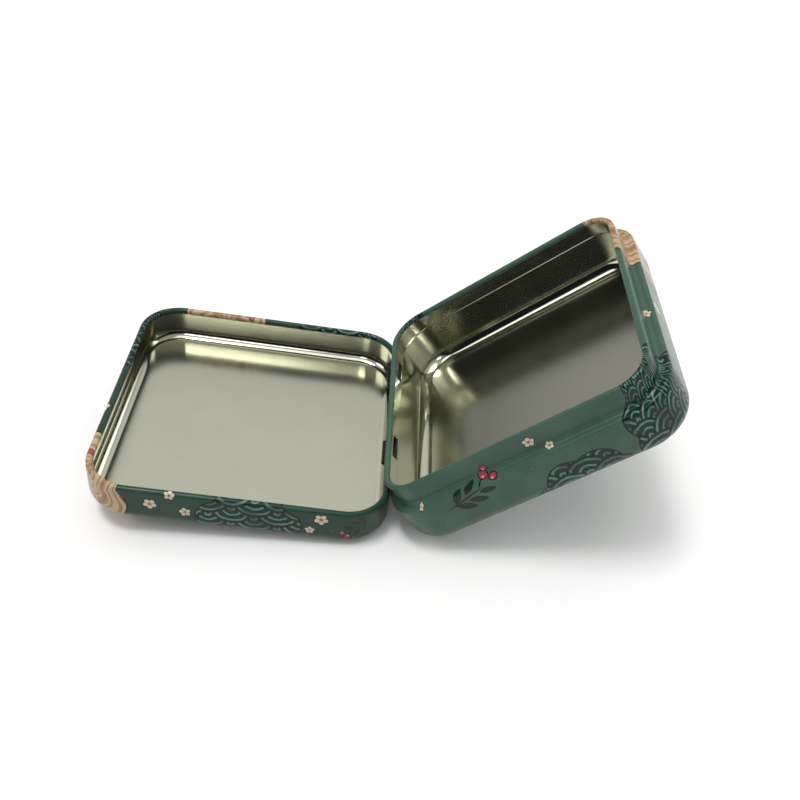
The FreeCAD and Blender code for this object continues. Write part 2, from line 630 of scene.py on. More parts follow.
@dataclass
class Lid(Tray):
    """The shallow tray, whose rear curl is the hinge pin."""

    name: str = "lid_tray"

    def section(self, levels: tuple[float, ...]) -> Section:
        """Trace the lid's wall in section, from the panel to the end of its curl.

        Args:
            levels: Heights of the slots' edges.

        Returns:
            The section.
        """
        s = self.sizes
        section = Section()
        top = s.lid_height - s.lid_curl_radius
        points = [Vector((-s.corner_radius, 0)), Vector((0, 0)), Vector((0, top))]
        section.trace(points, [s.lid_edge_radius], levels)
        section.arc(Vector((-s.lid_curl_radius, top)), s.lid_curl_radius, math.pi / 2, s.curl_turn)
        return section

    def openings(self) -> list[Opening]:
        """Place the slots under the rear curl that the base's tongues pass through.

        Returns:
            The slots, in the lid's own frame.
        """
        s = self.sizes
        top = s.lid_height - 2 * s.lid_curl_radius - s.slot_clearance / 2
        bottom = s.hinge.z - s.tongue_swing - s.slot_clearance
        half = s.tongue_width / 2 + s.slot_play
        return [Opening(y - half, y + half, bottom, top, 0.0) for y in s.tongue_centres]


@dataclass
class Base(Tray):
    """The deeper tray, necked in below its rim, with two tongues punched from the neck."""

    name: str = "base_tray"
    tongue_steps: int = 6
    tip_shares: tuple[float, ...] = (0.1, 0.25, 0.5, 0.75, 1.0)

    def section(self, levels: tuple[float, ...]) -> Section:
        """Trace the base's wall, from the bottom over the shoulder to the curl's end.

        Args:
            levels: Heights of the windows' edges.

        Returns:
            The section.
        """
        s = self.sizes
        section = Section()
        shoulder = s.base_height - s.neck_height
        top = s.base_height - s.base_curl_radius
        points = [Vector((-s.corner_radius, 0)), Vector((0, 0)), Vector((0, shoulder)),
                  Vector((-s.neck_inset, shoulder)), Vector((-s.neck_inset, top))]
        radii = [s.base_edge_radius, s.shoulder_radius, s.neck_root_radius]
        section.trace(points, radii, levels)
        middle = Vector((-s.neck_inset - s.base_curl_radius, top))
        section.arc(middle, s.base_curl_radius, math.pi / 2, s.curl_turn)
        return section

    def window_heights(self) -> tuple[float, float]:
        """Lowest and highest z of the windows over the lid's panel, closed."""
        s = self.sizes
        return s.hinge.z - s.tongue_reach - s.tongue_bend_radius, s.seat_z - s.neck_root_radius

    def openings(self) -> list[Opening]:
        """Place the windows that the tongues leave in the neck.

        Returns:
            The windows, in the base's own frame.
        """
        s = self.sizes
        low, high = self.window_heights()
        half = s.tongue_width / 2
        return [Opening(-y - half, -y + half, s.closed_height - high, s.closed_height - low,
                        -s.neck_inset) for y in s.tongue_centres]

    def add_fittings(self, mesh: bmesh.types.BMesh) -> None:
        """Add both tongues."""
        for centre_y in self.sizes.tongue_centres:
            self.add_tongue(mesh, centre_y)

    def add_tongue(self, mesh: bmesh.types.BMesh, centre_y: float) -> None:
        """Bend one tongue out of the neck, round the lid's curl.

        Args:
            mesh: The base's mesh, in the base's own frame.
            centre_y: Middle of the tongue in the closed tin.
        """
        s = self.sizes
        root = self.window_heights()[0]
        floor = s.hinge.z - s.tongue_reach
        back = s.hinge.x + s.tongue_reach
        tip = s.hinge.z
        strip = Section()
        points = [Vector((-s.neck_inset, root)), Vector((-s.neck_inset, floor)),
                  Vector((back, floor)), Vector((back, tip))]
        outside = s.tongue_bend_radius + s.sheet
        levels = tuple(tip - s.tongue_tip_radius * share for share in self.tip_shares)
        strip.trace(points, [s.tongue_bend_radius, outside], levels)
        flat_map = mesh.loops.layers.uv.verify()
        steps = self.tongue_steps

        def rows(layer: int) -> list[list[Vector]]:
            """Lay rows of points across the strip.

            Args:
                layer: 0 on its outer face, 1 on its inner face.

            Returns:
                The rows, from the root to the rounded tip.
            """
            found = []
            for station in strip.stations:
                x = station.across + station.inward.x * s.sheet * layer
                z = station.up + station.inward.y * s.sheet * layer
                short = max(0.0, s.tongue_tip_radius - (tip - station.up))
                if station.across < back - SAME_PLACE:
                    short = 0.0
                spread = math.sqrt(max(s.tongue_tip_radius ** 2 - short ** 2, 0.0))
                narrow = s.tongue_tip_radius - spread
                half = s.tongue_width / 2 - narrow
                ys = [centre_y - half + 2 * half * index / steps for index in range(steps + 1)]
                found.append([Vector((x + s.depth / 2, -y, s.closed_height - z)) for y in ys])
            return found

        def add(points: list[Vector], kind: Face) -> None:
            """Add one face of the tongue.

            Args:
                points: Its corners.
                kind: Its finish.
            """
            face = mesh.faces.new([mesh.verts.new(point) for point in points])
            face.material_index = kind.value
            for loop in face.loops:
                loop[flat_map].uv = loop.vert.co.xy

        outer, inner = rows(0), rows(1)
        for index in range(len(outer) - 1):
            for column in range(steps):
                for grid in (outer, inner):
                    add([grid[index][column], grid[index][column + 1],
                         grid[index + 1][column + 1], grid[index + 1][column]], Face.BARE)
            for column in (0, steps):
                add([outer[index][column], outer[index + 1][column],
                     inner[index + 1][column], inner[index][column]], Face.CUT)
        for index in (0, -1):
            for column in range(steps):
                add([outer[index][column], outer[index][column + 1],
                     inner[index][column + 1], inner[index][column]], Face.CUT)


# ---- Node sketching ------------------------------------------------------------------------

Socket = bpy.types.NodeSocket
Value = Socket | float | tuple[float, ...] | Vector
WHITE = (1.0, 1.0, 1.0)


class Sketch:
    """Writes nodes into one tree, with sockets passed about like values."""

    def __init__(self, tree: bpy.types.NodeTree) -> None:
        """Keep the tree that nodes go into."""
        self.tree = tree

    def node(self, kind: str, **settings: object) -> bpy.types.Node:
        """Add a node.

        Args:
            kind: Its type.
            settings: Its own options, by name.

        Returns:
            The node.
        """
        made = self.tree.nodes.new(kind)
        for option, value in settings.items():
            setattr(made, option, value)
        return made

    def feed(self, target: Socket, value: Value) -> None:
        """Link a socket, or set a plain value, at an input.

        Args:
            target: The input.
            value: What goes in.
        """
        if isinstance(value, bpy.types.NodeSocket):
            self.tree.links.new(value, target)
        else:
            target.default_value = value

    def fill(self, node: bpy.types.Node, values: dict[str, Value]) -> bpy.types.Node:
        """Feed several inputs of a node.

        Args:
            node: The node.
            values: What goes in, by the names of the inputs.

        Returns:
            The same node.
        """
        for name, value in values.items():
            self.feed(node.inputs[name], value)
        return node

    def math(self, operation: str, *values: Value) -> Socket:
        """Work out a number.

        Args:
            operation: The Math node's operation.
            values: Its inputs, in order.

        Returns:
            The number.
        """
        made = self.node("ShaderNodeMath", operation=operation)
        for target, value in zip(made.inputs, values):
            self.feed(target, value)
        return made.outputs[0]

    def vector(self, operation: str, *values: Value) -> Socket:
        """Work out a vector, its length or a dot product.

        Args:
            operation: The Vector Math node's operation.
            values: Its inputs, in order.

        Returns:
            The result.
        """
        made = self.node("ShaderNodeVectorMath", operation=operation)
        for target, value in zip(made.inputs, values):
            self.feed(target, value)
        return made.outputs["Value" if operation in ("LENGTH", "DOT_PRODUCT") else "Vector"]

    def scale(self, vector: Value, factor: Value) -> Socket:
        """Multiply a vector by a number.

        Args:
            vector: The vector.
            factor: The number.

        Returns:
            The longer or shorter vector.
        """
        made = self.node("ShaderNodeVectorMath", operation="SCALE")
        self.feed(made.inputs[0], vector)
        return self.fill(made, {"Scale": factor}).outputs["Vector"]

    def turn_back(self, vector: Value, turn: Value) -> Socket:
        """See a vector from a frame that is turned about Z.

        Args:
            vector: The vector.
            turn: How far the frame is turned, in radians.

        Returns:
            The vector in that frame.
        """
        angle = self.math("MULTIPLY", turn, -1.0)
        made = self.node("ShaderNodeVectorRotate", rotation_type="Z_AXIS")
        return self.fill(made, {"Vector": vector, "Angle": angle}).outputs[0]

    def split(self, vector: Value) -> tuple[Socket, Socket, Socket]:
        """Take a vector apart.

        Args:
            vector: The vector.

        Returns:
            Its X, Y and Z.
        """
        made = self.node("ShaderNodeSeparateXYZ")
        self.feed(made.inputs[0], vector)
        return tuple(made.outputs)

    def ramp(self, value: Value, low: float, high: float) -> Socket:
        """Rise smoothly from 0 to 1.

        Args:
            value: What it depends on.
            low: The value where it is 0.
            high: The value where it is 1, which may be the lower of the two.

        Returns:
            The mask.
        """
        made = self.node("ShaderNodeMapRange", interpolation_type="SMOOTHSTEP")
        return self.fill(made, {"Value": value, "From Min": low, "From Max": high}).outputs["Result"]

    def fade(self, value: Value, low: float, high: float) -> Socket:
        """1 below low and 0 above high, the other way round from a ramp."""
        return self.math("SUBTRACT", 1.0, self.ramp(value, low, high))

    def outline(self, depth: Socket, low: float, high: float) -> Socket:
        """A drawn line along a shape's edge, full to low and gone at high on both sides."""
        return self.fade(self.math("ABSOLUTE", depth), low, high)

    def noise(self, place: Value, scale: float, detail: float = 2.0, roughness: float = 0.5) -> Socket:
        """Make plain noise.

        Args:
            place: Where it is looked up.
            scale: How fine it is.
            detail: How many finer layers it has.
            roughness: How strong they are.

        Returns:
            A value from 0 to 1.
        """
        values = {"Vector": place, "Scale": scale, "Detail": detail, "Roughness": roughness}
        return self.fill(self.node("ShaderNodeTexNoise"), values).outputs["Fac"]

    def mix(self, mask: Value, under: Value, over: Value) -> Socket:
        """Lay one colour on another.

        Args:
            mask: 1 where the upper colour covers.
            under: The lower colour.
            over: The upper colour.

        Returns:
            The colour.
        """
        made = self.node("ShaderNodeMix", data_type="RGBA")
        return self.fill(made, {"Factor": mask, "A": rgba(under), "B": rgba(over)}).outputs["Result"]

    def bump(self, height: Socket, strength: float) -> Socket:
        """The normal of a slightly uneven sheet."""
        values = {"Height": height, "Strength": strength, "Distance": BUMP_DISTANCE}
        return self.fill(self.node("ShaderNodeBump"), values).outputs[0]

    def call(self, group: bpy.types.NodeTree, **values: Value) -> bpy.types.Node:
        """Place a node group.

        Args:
            group: The group.
            values: What goes in, by the inputs' names with _ for spaces.

        Returns:
            The group's node.
        """
        made = self.node("ShaderNodeGroup", node_tree=group)
        return self.fill(made, {name.replace("_", " "): value for name, value in values.items()})

    def flat_place(self) -> Socket:
        """Place on the flat sheet, in millimetres from the middle of the tray."""
        return self.node("ShaderNodeUVMap", uv_map=FLAT_MAP).outputs["UV"]


def rgba(colour: Value) -> Value:
    """A colour with its alpha, or a socket as it is."""
    return (*colour, 1.0) if isinstance(colour, tuple) and len(colour) == 3 else colour


def dimmed(colour: Colour, share: float) -> Colour:
    """A share of a colour's light."""
    return tuple(value * share for value in colour)


def linear(value: float) -> float:
    """One channel as it looks on a screen, from 0 to 255, as linear light."""
    share = value / 255
    return share / 12.92 if share <= 0.04045 else ((share + 0.055) / 1.055) ** 2.4


def srgb(red: int, green: int, blue: int) -> Colour:
    """A colour given as it looks on a screen, from 0 to 255, as linear light."""
    return linear(red), linear(green), linear(blue)


NewGroup = tuple[bpy.types.NodeTree, Sketch, bpy.types.bpy_prop_collection, bpy.types.Node]


def new_group(name: str, inputs: dict[str, str], outputs: dict[str, str]) -> NewGroup:
    """Start a shader node group.

    Args:
        name: Name of the group.
        inputs: Socket names and types, such as {"Size": "Float"}.
        outputs: The same for what it puts out.

    Returns:
        The group, a sketch of it, its inputs by name and its output node.
    """
    tree = bpy.data.node_groups.new(name, "ShaderNodeTree")
    for names, in_out in ((inputs, "INPUT"), (outputs, "OUTPUT")):
        for socket_name, kind in names.items():
            tree.interface.new_socket(socket_name, in_out=in_out, socket_type="NodeSocket" + kind)
    sketch = Sketch(tree)
    entry = sketch.node("NodeGroupInput").outputs
    leave = sketch.node("NodeGroupOutput")
    return tree, sketch, entry, leave


# ---- Shared effects ------------------------------------------------------------------------


@dataclass(frozen=True)
class LeafShape:
    """One leaf of a sprig, in the sprig's own frame, or a stem drawn as a thin leaf."""

    x: float
    y: float
    turn: float
    long: float
    wide: float


LEAVES = (LeafShape(2.6, 1.3, 0.75, 3.2, 1.15), LeafShape(2.9, -1.25, -0.7, 3.0, 1.1),
          LeafShape(5.0, 1.5, 0.6, 3.0, 1.1), LeafShape(5.4, -1.35, -0.55, 2.8, 1.0),
          LeafShape(7.4, 1.0, 0.35, 2.6, 0.95))
STEM = LeafShape(3.4, 0.0, 0.0, 8.4, 0.36)
TWIG = LeafShape(7.3, -0.75, -0.75, 2.4, 0.26)
BERRIES = ((8.4, -1.7, 0.78), (9.7, -0.5, 0.7), (9.3, -2.7, 0.6))


class Effects:
    """Node groups that more than one finish uses, each built once."""

    def __init__(self) -> None:
        """Build every group."""
        self.motif = self.build_motif()
        self.leaf = self.build_leaf()
        self.sprig = self.build_sprig()
        self.zone = self.build_zone()
        self.flow = self.build_flow()
        self.scales = self.build_scales()
        self.blossom = self.build_blossom()
        self.rolling = self.build_rolling()
        self.specks = self.build_specks()

    def build_motif(self) -> bpy.types.NodeTree:
        """Give the place in a motif's own frame within its reach, and what was before elsewhere.

        Returns:
            The group.
        """
        inputs = {"Place": "Vector", "Before": "Vector", "Foot": "Vector", "Turn": "Float",
                  "Size": "Float", "Middle": "Vector", "Reach": "Float"}
        tree, s, entry, leave = new_group("motif_place", inputs, {"Place": "Vector"})
        turned = s.turn_back(s.vector("SUBTRACT", entry["Place"], entry["Foot"]), entry["Turn"])
        local = s.scale(turned, s.math("DIVIDE", 1.0, entry["Size"]))
        away = s.vector("LENGTH", s.vector("SUBTRACT", local, entry["Middle"]))
        near = s.math("LESS_THAN", away, entry["Reach"])
        chosen = s.node("ShaderNodeMix", data_type="VECTOR")
        s.fill(chosen, {"Factor": near, "A": entry["Before"], "B": local})
        s.fill(leave, {"Place": chosen.outputs["Result"]})
        return tree

    def build_leaf(self) -> bpy.types.NodeTree:
        """Draw a pointed leaf: a filled shape, with its outline and midrib.

        Returns:
            The group.
        """
        inputs = {"Place": "Vector", "Middle": "Vector", "Turn": "Float", "Long": "Float",
                  "Wide": "Float"}
        tree, s, entry, leave = new_group("leaf_shape", inputs, {"Fill": "Float", "Line": "Float"})
        local = s.vector("SUBTRACT", entry["Place"], entry["Middle"])
        x, y, _ = s.split(s.turn_back(local, entry["Turn"]))
        along = s.math("DIVIDE", x, s.math("MULTIPLY", entry["Long"], 0.5))
        across = s.math("ABSOLUTE", y)
        bulge = s.math("SUBTRACT", 1.0, s.math("MULTIPLY", along, along))
        edge = s.math("MULTIPLY", s.math("MULTIPLY", entry["Wide"], 0.5), bulge)
        depth = s.math("SUBTRACT", edge, across)
        fill = s.ramp(depth, -0.05, 0.05)
        midrib = s.math("MULTIPLY", s.fade(across, 0.02, 0.1), fill)
        line = s.math("MAXIMUM", s.outline(depth, 0.05, 0.16), midrib)
        s.fill(leave, {"Fill": fill, "Line": line})
        return tree

    def draw_leaf(self, s: Sketch, place: Socket, shape: LeafShape) -> bpy.types.Node:
        """Place one leaf.

        Args:
            s: Sketch of the sprig.
            place: Place in the sprig's own frame.
            shape: The leaf.

        Returns:
            The leaf's node.
        """
        return s.call(self.leaf, Place=place, Middle=(shape.x, shape.y, 0.0), Turn=shape.turn,
                      Long=shape.long, Wide=shape.wide)

    def build_sprig(self) -> bpy.types.NodeTree:
        """Draw a curved stem with paired leaves and round berries at its tip.

        Returns:
            The group.
        """
        outputs = {"Leaf": "Float", "Line": "Float", "Berry": "Float", "Shine": "Float"}
        tree, s, entry, leave = new_group("berry_sprig", {"Place": "Vector"}, outputs)
        place = entry["Place"]
        fill, line = 0.0, 0.0
        for shape in LEAVES:
            leaf = self.draw_leaf(s, place, shape)
            fill = s.math("MAXIMUM", fill, leaf.outputs["Fill"])
            line = s.math("MAXIMUM", line, leaf.outputs["Line"])
        stem, twig = (self.draw_leaf(s, place, shape).outputs["Fill"] for shape in (STEM, TWIG))
        line = s.math("MAXIMUM", line, s.math("MAXIMUM", stem, twig))
        berry, shine = 0.0, 0.0
        for x, y, radius in BERRIES:
            away = s.vector("LENGTH", s.vector("SUBTRACT", place, (x, y, 0.0)))
            disc = s.fade(away, radius - 0.05, radius + 0.05)
            ring = s.outline(s.math("SUBTRACT", away, radius), 0.04, 0.15)
            glint = s.vector("LENGTH", s.vector("SUBTRACT", place, (x - 0.2, y + 0.25, 0.0)))
            berry = s.math("MAXIMUM", berry, disc)
            line = s.math("MAXIMUM", line, ring)
            shine = s.math("MAXIMUM", shine, s.fade(glint, 0.12, 0.26))
        s.fill(leave, {"Leaf": fill, "Line": line, "Berry": berry, "Shine": shine})
        return tree

    def build_zone(self) -> bpy.types.NodeTree:
        """Draw a round field with a scalloped edge, and tell how deep in it a place is.

        Returns:
            The group.
        """
        inputs = {"Place": "Vector", "Middle": "Vector", "Radius": "Float", "Scallop": "Float",
                  "Count": "Float"}
        outputs = {"Mask": "Float", "Edge": "Float", "Depth": "Float"}
        tree, s, entry, leave = new_group("scalloped_zone", inputs, outputs)
        local = s.vector("SUBTRACT", entry["Place"], entry["Middle"])
        x, y, _ = s.split(local)
        bearing = s.math("ARCTAN2", y, x)
        wave = s.math("ABSOLUTE", s.math("SINE", s.math("MULTIPLY", bearing, entry["Count"])))
        edge = s.math("ADD", entry["Radius"], s.math("MULTIPLY", wave, entry["Scallop"]))
        depth = s.math("SUBTRACT", edge, s.vector("LENGTH", local))
        s.fill(leave, {"Mask": s.ramp(depth, -0.06, 0.06), "Edge": s.outline(depth, 0.1, 0.24),
                       "Depth": depth})
        return tree

    def build_flow(self) -> bpy.types.NodeTree:
        """Draw lines that follow a zone's edge inwards, as ripples do, swelling and thinning.

        Returns:
            The group.
        """
        inputs = {"Place": "Vector", "Depth": "Float", "Spacing": "Float", "Stir": "Float"}
        tree, s, entry, leave = new_group("ripple_lines", inputs, {"Line": "Float", "Broad": "Float"})
        swirl = s.math("SUBTRACT", s.noise(entry["Place"], 0.13, 1.5), 0.5)
        stirred = s.math("ADD", entry["Depth"], s.math("MULTIPLY", swirl, entry["Stir"]))
        level = s.math("DIVIDE", stirred, entry["Spacing"])
        saw = s.math("ABSOLUTE", s.math("SUBTRACT", s.math("FRACT", level), 0.5))
        width = s.math("ADD", 0.07, s.math("MULTIPLY", s.noise(entry["Place"], 0.3, 2.0), 0.16))
        line = s.fade(s.math("SUBTRACT", saw, width), -0.035, 0.035)
        broad = s.math("FRACT", s.math("MULTIPLY", s.math("FLOOR", level), 0.381))
        s.fill(leave, {"Line": line, "Broad": s.ramp(broad, 0.5, 0.6)})
        return tree

    def build_scales(self) -> bpy.types.NodeTree:
        """Draw rows of overlapping round scales with rings inside, like stylised waves.

        Returns:
            The group.
        """
        outputs = {"Ring": "Float", "Rim": "Float"}
        tree, s, entry, leave = new_group("wave_scales", {"Place": "Vector", "Size": "Float"}, outputs)
        x, y, _ = s.split(s.scale(entry["Place"], s.math("DIVIDE", 1.0, entry["Size"])))
        lowest = s.math("CEIL", s.math("MULTIPLY_ADD", y, 2.0, -2.0))
        distances = []
        for row in range(3):
            number = s.math("ADD", lowest, float(row))
            up = s.math("SUBTRACT", y, s.math("MULTIPLY", number, 0.5))
            shifted = s.math("ADD", x, s.math("FLOORED_MODULO", number, 2.0))
            column = s.math("FRACT", s.math("MULTIPLY_ADD", shifted, 0.5, 0.5))
            across = s.math("MULTIPLY_ADD", column, 2.0, -1.0)
            square = s.math("ADD", s.math("MULTIPLY", across, across), s.math("MULTIPLY", up, up))
            distances.append(s.math("SQRT", square))
        nearest = distances[2]
        for distance in (distances[1], distances[0]):
            inside = s.math("LESS_THAN", distance, 1.0)
            gap = s.math("SUBTRACT", distance, nearest)
            nearest = s.math("MULTIPLY_ADD", gap, inside, nearest)
        rings = s.math("FRACT", s.math("MULTIPLY", nearest, 3.0))
        saw = s.math("SUBTRACT", rings, 0.42)
        s.fill(leave, {"Ring": s.outline(saw, 0.12, 0.2), "Rim": s.ramp(nearest, 0.9, 0.96)})
        return tree

    def build_blossom(self) -> bpy.types.NodeTree:
        """Draw a five-petalled blossom with an inked edge and a heart.

        Returns:
            The group.
        """
        outputs = {"Petal": "Float", "Line": "Float", "Heart": "Float"}
        tree, s, entry, leave = new_group("blossom", {"Place": "Vector"}, outputs)
        x, y, _ = s.split(entry["Place"])
        bearing = s.math("ARCTAN2", y, x)
        lobe = s.math("ABSOLUTE", s.math("COSINE", s.math("MULTIPLY", bearing, 2.5)))
        edge = s.math("MULTIPLY_ADD", lobe, 0.32, 0.68)
        away = s.vector("LENGTH", entry["Place"])
        depth = s.math("SUBTRACT", edge, away)
        vein = s.math("MULTIPLY", s.ramp(lobe, 0.2, 0.08), s.ramp(away, 0.7, 0.5))
        line = s.math("MAXIMUM", s.outline(depth, 0.05, 0.12), vein)
        s.fill(leave, {"Petal": s.ramp(depth, -0.03, 0.03), "Line": line,
                       "Heart": s.ramp(away, 0.26, 0.2)})
        return tree

    def build_rolling(self) -> bpy.types.NodeTree:
        """Make the rolling grain of tinplate: fine lines along X, and a slow cloudiness.

        Returns:
            The group.
        """
        outputs = {"Grain": "Float", "Cloud": "Float"}
        tree, s, entry, leave = new_group("rolling_grain", {"Place": "Vector"}, outputs)
        drawn = s.vector("MULTIPLY", entry["Place"], (0.12, 5.0, 1.0))
        s.fill(leave, {"Grain": s.noise(drawn, 1.0, 3.0, 0.6),
                       "Cloud": s.noise(entry["Place"], 0.09, 2.0, 0.55)})
        return tree

    def build_specks(self) -> bpy.types.NodeTree:
        """Scatter dust and pinholes.

        Returns:
            The group.
        """
        inputs = {"Place": "Vector", "Density": "Float"}
        tree, s, entry, leave = new_group("specks", inputs, {"Speck": "Float"})
        cells = s.node("ShaderNodeTexVoronoi", feature="F1")
        s.fill(cells, {"Vector": entry["Place"], "Scale": 0.9})
        pick = s.node("ShaderNodeSeparateColor")
        s.feed(pick.inputs[0], cells.outputs["Color"])
        chosen = s.math("LESS_THAN", pick.outputs[0], entry["Density"])
        size = s.math("ADD", 0.03, s.math("MULTIPLY", pick.outputs[1], 0.07))
        dot = s.math("LESS_THAN", cells.outputs["Distance"], size)
        s.fill(leave, {"Speck": s.math("MULTIPLY", chosen, dot)})
        return tree


# ---- Finishes ------------------------------------------------------------------------------


def new_material(name: str) -> tuple[bpy.types.Material, Sketch, bpy.types.Node]:
    """Start a material with a Principled shader.

    Args:
        name: Name of the material.

    Returns:
        The material, a sketch of its nodes and its Principled node.
    """
    material = bpy.data.materials.new(name)
    material.use_nodes = True
    sketch = Sketch(material.node_tree)
    return material, sketch, material.node_tree.nodes["Principled BSDF"]


@dataclass(frozen=True)
class BareTinplate:
    """Satin tinplate under a clear food lacquer, as inside both trays.

    The flat panel keeps the sheet's own roughness. From bend_start to bend_end, in
    millimetres out from the rounded square of the panel, drawing has polished it.
    """

    name: str
    colour: Colour = (0.57, 0.575, 0.46)
    dust: Colour = (0.25, 0.24, 0.2)
    dust_cover: float = 0.6
    dust_density: float = 0.2
    dust_roughness: float = 0.3
    panel_roughness: float = 0.22
    drawn_roughness: float = 0.12
    corner: float = 21.7
    bend_start: float = 4.5
    bend_end: float = 8.0
    bump: float = 0.03

    def build(self, effects: Effects) -> bpy.types.Material:
        """Make the material.

        Args:
            effects: The shared node groups.

        Returns:
            The material.
        """
        material, s, shader = new_material(self.name)
        place = s.flat_place()
        grain, cloud = s.call(effects.rolling, Place=place).outputs
        speck = s.call(effects.specks, Place=place, Density=self.dust_density).outputs[0]
        tone = s.math("MULTIPLY_ADD", cloud, 0.14, 0.93)
        tone = s.math("MULTIPLY", tone, s.math("MULTIPLY_ADD", grain, 0.08, 0.96))
        tinted = s.scale(self.colour, tone)
        beyond = s.vector("SUBTRACT", s.vector("ABSOLUTE", place), (self.corner, self.corner, 0.0))
        beyond = s.vector("LENGTH", s.vector("MAXIMUM", beyond, (0.0, 0.0, 0.0)))
        polish = s.math("MULTIPLY", s.ramp(beyond, self.bend_start, self.bend_end),
                        self.drawn_roughness - self.panel_roughness)
        rough = s.math("MULTIPLY_ADD", cloud, 0.08, self.panel_roughness - 0.04)
        rough = s.math("ADD", rough, polish)
        s.fill(shader, {
            "Metallic": 1.0,
            "Base Color": s.mix(s.math("MULTIPLY", speck, self.dust_cover), tinted, self.dust),
            "Roughness": s.math("ADD", rough, s.math("MULTIPLY", speck, self.dust_roughness)),
            "Normal": s.bump(grain, self.bump),
        })
        return material


@dataclass(frozen=True)
class CutEdge:
    """The sheared edge of the sheet: grey steel with dark oxide in its hollows."""

    name: str
    colour: Colour = (0.30, 0.29, 0.27)
    oxide: Colour = (0.12, 0.11, 0.1)
    roughness: float = 0.45

    def build(self, effects: Effects) -> bpy.types.Material:
        """Make the material.

        Args:
            effects: The shared node groups.

        Returns:
            The material.
        """
        material, s, shader = new_material(self.name)
        grain = s.call(effects.rolling, Place=s.flat_place()).outputs["Grain"]
        s.fill(shader, {"Metallic": 1.0, "Base Color": s.mix(grain, self.colour, self.oxide),
                        "Roughness": self.roughness})
        return material


@dataclass(frozen=True)
class Zone:
    """A round field of the print with a scalloped edge."""

    x: float
    y: float
    radius: float
    scallop: float = 1.6
    count: float = 5.0


@dataclass(frozen=True)
class Sprig:
    """One berry sprig of the print: its foot, the way it grows and its size."""

    x: float
    y: float
    turn: float
    size: float = 1.0


@dataclass(frozen=True)
class Blossom:
    """One cream blossom of the print."""

    x: float
    y: float
    turn: float = 0.0
    size: float = 1.5


@dataclass
class Canvas:
    """The print on one flat sheet, a colour that grows layer by layer."""

    sketch: Sketch
    effects: Effects
    place: Socket
    colour: Value

    def lay(self, mask: Value, over: Value) -> None:
        """Lay a colour over the print where the mask is 1."""
        self.colour = self.sketch.mix(mask, self.colour, over)

    def lay_all(self, node: bpy.types.Node, layers: dict[str, Value]) -> None:
        """Lay a node's masks over the print, each with its own colour."""
        for name, over in layers.items():
            self.lay(node.outputs[name], over)

    def area(self, zone: Zone) -> bpy.types.Node:
        """Work out one field of the print.

        Args:
            zone: The field.

        Returns:
            The node that puts out its mask, edge and depth.
        """
        return self.sketch.call(self.effects.zone, Place=self.place, Middle=(zone.x, zone.y, 0.0),
                                Radius=zone.radius, Scallop=zone.scallop, Count=zone.count)

    def motif_place(self, spots: Iterable[Sprig | Blossom], away: float, middle: Colour,
                    reach: float) -> Socket:
        """Give the place in the frame of the motif that is in reach, so it is drawn once.

        Args:
            spots: The motifs.
            away: A place far from any motif, on both axes.
            middle: Middle of the motif in its own frame.
            reach: How far it reaches from there.

        Returns:
            The place.
        """
        local = (away, away, 0.0)
        for spot in spots:
            local = self.sketch.call(
                self.effects.motif, Place=self.place, Before=local, Foot=(spot.x, spot.y, 0.0),
                Turn=spot.turn, Size=spot.size, Middle=middle, Reach=reach).outputs["Place"]
        return local


